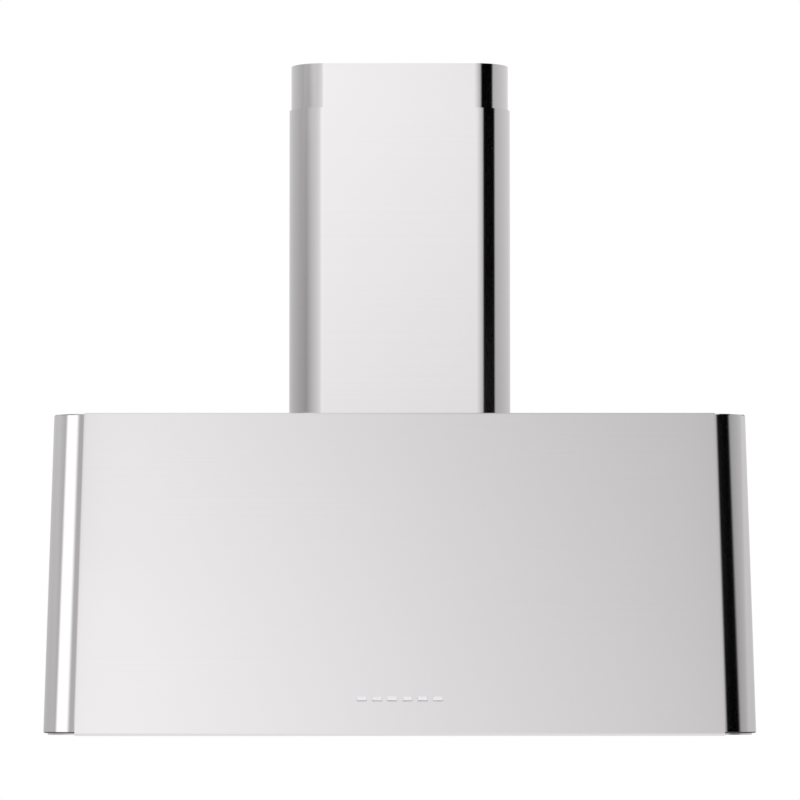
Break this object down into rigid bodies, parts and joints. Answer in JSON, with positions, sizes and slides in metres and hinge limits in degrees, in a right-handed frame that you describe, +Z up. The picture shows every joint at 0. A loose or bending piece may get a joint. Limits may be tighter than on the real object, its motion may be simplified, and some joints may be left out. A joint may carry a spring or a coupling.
{
  "type": "chimney range hood",
  "caption": "Wall chimney range hood: leaning front with push buttons, baffle filters, lamps, centrifugal blower and telescoping duct cover.",
  "frame": {"origin": "on the wall plane, at the middle of the hood's bottom edge", "axes": "+X to the viewer's right, +Y into the wall, +Z up; the front faces -Y"},
  "size_m": [0.9, 0.4996, 0.881],
  "materials": {
    "brushed_steel": "brushed along the width, satin",
    "zinc_steel": "bare zinc-coated sheet",
    "filter_steel": "satin stainless",
    "button_metal": "satin metal-look cap",
    "white_plastic": "matt",
    "black_plastic": "matt",
    "grey_plastic": "matt",
    "board_green": "coated board",
    "screw_zinc": "zinc plated",
    "lens_frost": "frosted",
    "bezel_chrome": "polished",
    "shaft_steel": "ground",
    "aluminium": "bare",
    "cable_grey": "matt sheath",
    "spring_steel": "spring temper"
  },
  "bodies": {
    "hood": {"canopy_wrap": "brushed_steel", "back_panel": "zinc_steel", "top_panel": "zinc_steel", "underside_pan": "brushed_steel", "left_lamp_bezel": "bezel_chrome", "left_lamp_lens": "lens_frost", "left_lamp_module": "aluminium", "right_lamp_bezel": "bezel_chrome", "right_lamp_lens": "lens_frost", "right_lamp_module": "aluminium", "switch_housing": "white_plastic", "switch_board": "board_green", "switch_housing_nuts": "screw_zinc", "blower_scroll": "zinc_steel", "blower_left_side": "zinc_steel", "blower_right_side": "zinc_steel", "blower_motor": "zinc_steel", "motor_spider": "zinc_steel", "duct_collar": "zinc_steel", "top_panel_screws": "screw_zinc", "lower_chimney": "brushed_steel", "chimney_locator": "zinc_steel", "chimney_screws": "screw_zinc", "cable_gland": "black_plastic", "terminal_box": "grey_plastic", "terminal_cover": "grey_plastic", "terminal_block": "white_plastic", "lamp_driver": "grey_plastic", "motor_capacitor": "white_plastic", "capacitor_strap": "zinc_steel", "wiring": "cable_grey"},
    "upper_cover": {"upper_chimney": "brushed_steel", "ceiling_bracket": "zinc_steel", "ceiling_bracket_screws": "screw_zinc"},
    "fan": {"impeller": "black_plastic", "motor_shaft": "shaft_steel"},
    "front_flap": {"front_duct_flap": "aluminium"},
    "rear_flap": {"rear_duct_flap": "aluminium"},
    "left_filter": {"left_filter_frame": "filter_steel", "left_filter_baffles": "filter_steel", "left_filter_clip": "spring_steel", "left_filter_handle": "filter_steel"},
    "middle_filter": {"middle_filter_frame": "filter_steel", "middle_filter_baffles": "filter_steel", "middle_filter_clip": "spring_steel", "middle_filter_handle": "filter_steel"},
    "right_filter": {"right_filter_frame": "filter_steel", "right_filter_baffles": "filter_steel", "right_filter_clip": "spring_steel", "right_filter_handle": "filter_steel"},
    "button_1": {"push_button_1": "button_metal"},
    "button_2": {"push_button_2": "button_metal"},
    "button_3": {"push_button_3": "button_metal"},
    "button_4": {"push_button_4": "button_metal"},
    "button_5": {"push_button_5": "button_metal"},
    "button_6": {"push_button_6": "button_metal"}
  },
  "joints": [
    {"name": "upper_cover_slide", "type": "slide", "parent": "hood", "child": "upper_cover", "axis": [0, 0, 1], "range_m": [0, 0.36]},
    {"name": "fan_spin", "type": "hinge", "parent": "hood", "child": "fan", "pos_m": [0, -0.202, 0.215], "axis": [1, 0, 0], "continuous": true},
    {"name": "front_flap_lift", "type": "hinge", "parent": "hood", "child": "front_flap", "pos_m": [0, -0.1302, 0.442], "axis": [-1, 0, 0], "range_deg": [0, 80]},
    {"name": "rear_flap_lift", "type": "hinge", "parent": "hood", "child": "rear_flap", "pos_m": [0, -0.1238, 0.442], "axis": [1, 0, 0], "range_deg": [0, 80]},
    {"name": "left_filter_tilt", "type": "hinge", "parent": "hood", "child": "left_filter", "pos_m": [-0.286, -0.048, 0.025], "axis": [1, 0, 0], "range_deg": [0, 70], "deforming": ["left_filter_clip"]},
    {"name": "middle_filter_tilt", "type": "hinge", "parent": "hood", "child": "middle_filter", "pos_m": [0, -0.048, 0.025], "axis": [1, 0, 0], "range_deg": [0, 70], "deforming": ["middle_filter_clip"]},
    {"name": "right_filter_tilt", "type": "hinge", "parent": "hood", "child": "right_filter", "pos_m": [0.286, -0.048, 0.025], "axis": [1, 0, 0], "range_deg": [0, 70], "deforming": ["right_filter_clip"]},
    {"name": "button_1_press", "type": "slide", "parent": "hood", "child": "button_1", "axis": [0, 0.9218, -0.3878], "range_m": [0, 0.0025], "stiffness_N_per_m": 200, "springref_m": -0.003},
    {"name": "button_2_press", "type": "slide", "parent": "hood", "child": "button_2", "axis": [0, 0.9218, -0.3878], "range_m": [0, 0.0025], "stiffness_N_per_m": 200, "springref_m": -0.003},
    {"name": "button_3_press", "type": "slide", "parent": "hood", "child": "button_3", "axis": [0, 0.9218, -0.3878], "range_m": [0, 0.0025], "stiffness_N_per_m": 200, "springref_m": -0.003},
    {"name": "button_4_press", "type": "slide", "parent": "hood", "child": "button_4", "axis": [0, 0.9218, -0.3878], "range_m": [0, 0.0025], "stiffness_N_per_m": 200, "springref_m": -0.003},
    {"name": "button_5_press", "type": "slide", "parent": "hood", "child": "button_5", "axis": [0, 0.9218, -0.3878], "range_m": [0, 0.0025], "stiffness_N_per_m": 200, "springref_m": -0.003},
    {"name": "button_6_press", "type": "slide", "parent": "hood", "child": "button_6", "axis": [0, 0.9218, -0.3878], "range_m": [0, 0.0025], "stiffness_N_per_m": 200, "springref_m": -0.003}
  ]
}
